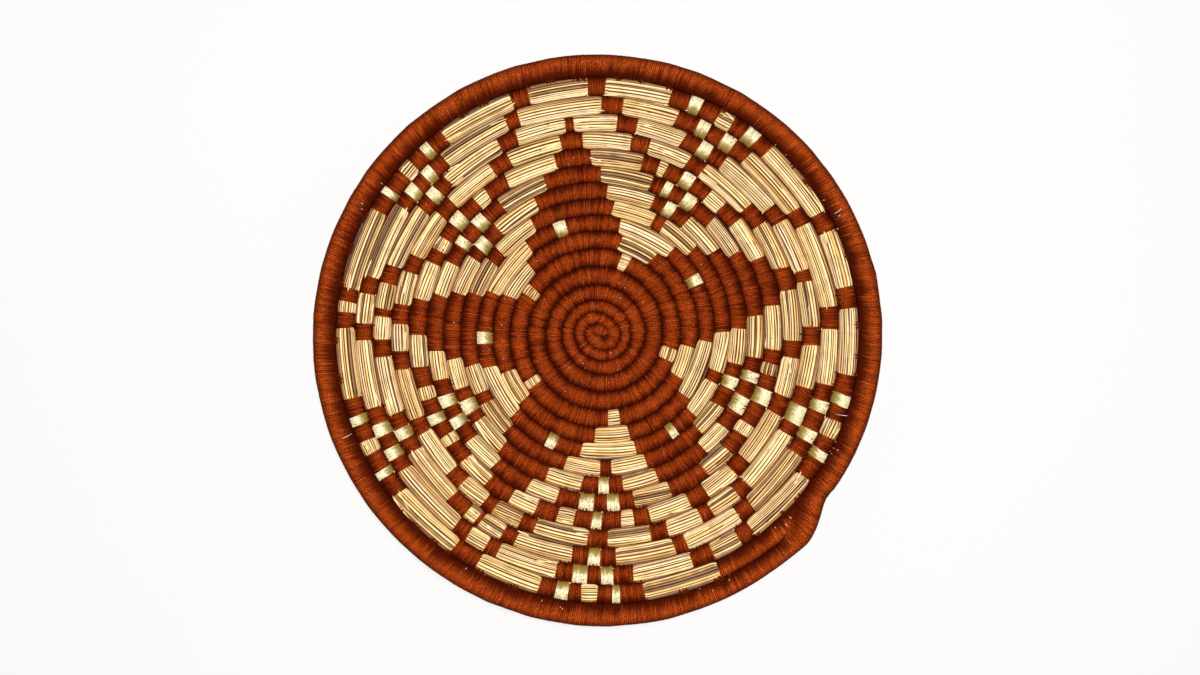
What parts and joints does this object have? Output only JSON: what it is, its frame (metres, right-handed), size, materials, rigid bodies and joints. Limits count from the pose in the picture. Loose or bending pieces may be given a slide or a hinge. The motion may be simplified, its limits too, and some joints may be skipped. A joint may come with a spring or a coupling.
{
  "type": "coiled basket bowl",
  "caption": "Shallow round coiled basket of bundled grass bound with rust and gold thread in a star pattern, with a thick wrapped rim.",
  "frame": {"origin": "middle of the outline, on the plane that the base rests on", "axes": "+Z up out of the open bowl, +X to the right and +Y up in the picture"},
  "size_m": [0.3038, 0.308, 0.0595],
  "materials": {
    "grass": "matt dry grass stems, pale straw with pink and green-grey strands",
    "rust_thread": "soft matt rust-red thread, wound side by side",
    "gold_thread": "pale gold metallic ribbon thread"
  },
  "bodies": {
    "root": {"grass_coil": "grass", "centre_wrap": "rust_thread", "star_arm_wrap_1": "rust_thread", "inner_diamond_wrap_1": "rust_thread", "outer_diamond_wrap_1": "rust_thread", "gold_dot_wrap_1": "gold_thread", "star_arm_wrap_2": "rust_thread", "inner_diamond_wrap_2": "rust_thread", "outer_diamond_wrap_2": "rust_thread", "gold_dot_wrap_2": "gold_thread", "star_arm_wrap_3": "rust_thread", "inner_diamond_wrap_3": "rust_thread", "outer_diamond_wrap_3": "rust_thread", "gold_dot_wrap_3": "gold_thread", "star_arm_wrap_4": "rust_thread", "inner_diamond_wrap_4": "rust_thread", "outer_diamond_wrap_4": "rust_thread", "gold_dot_wrap_4": "gold_thread", "star_arm_wrap_5": "rust_thread", "inner_diamond_wrap_5": "rust_thread", "outer_diamond_wrap_5": "rust_thread", "gold_dot_wrap_5": "gold_thread", "rim_wrap": "rust_thread"}
  },
  "joints": []
}
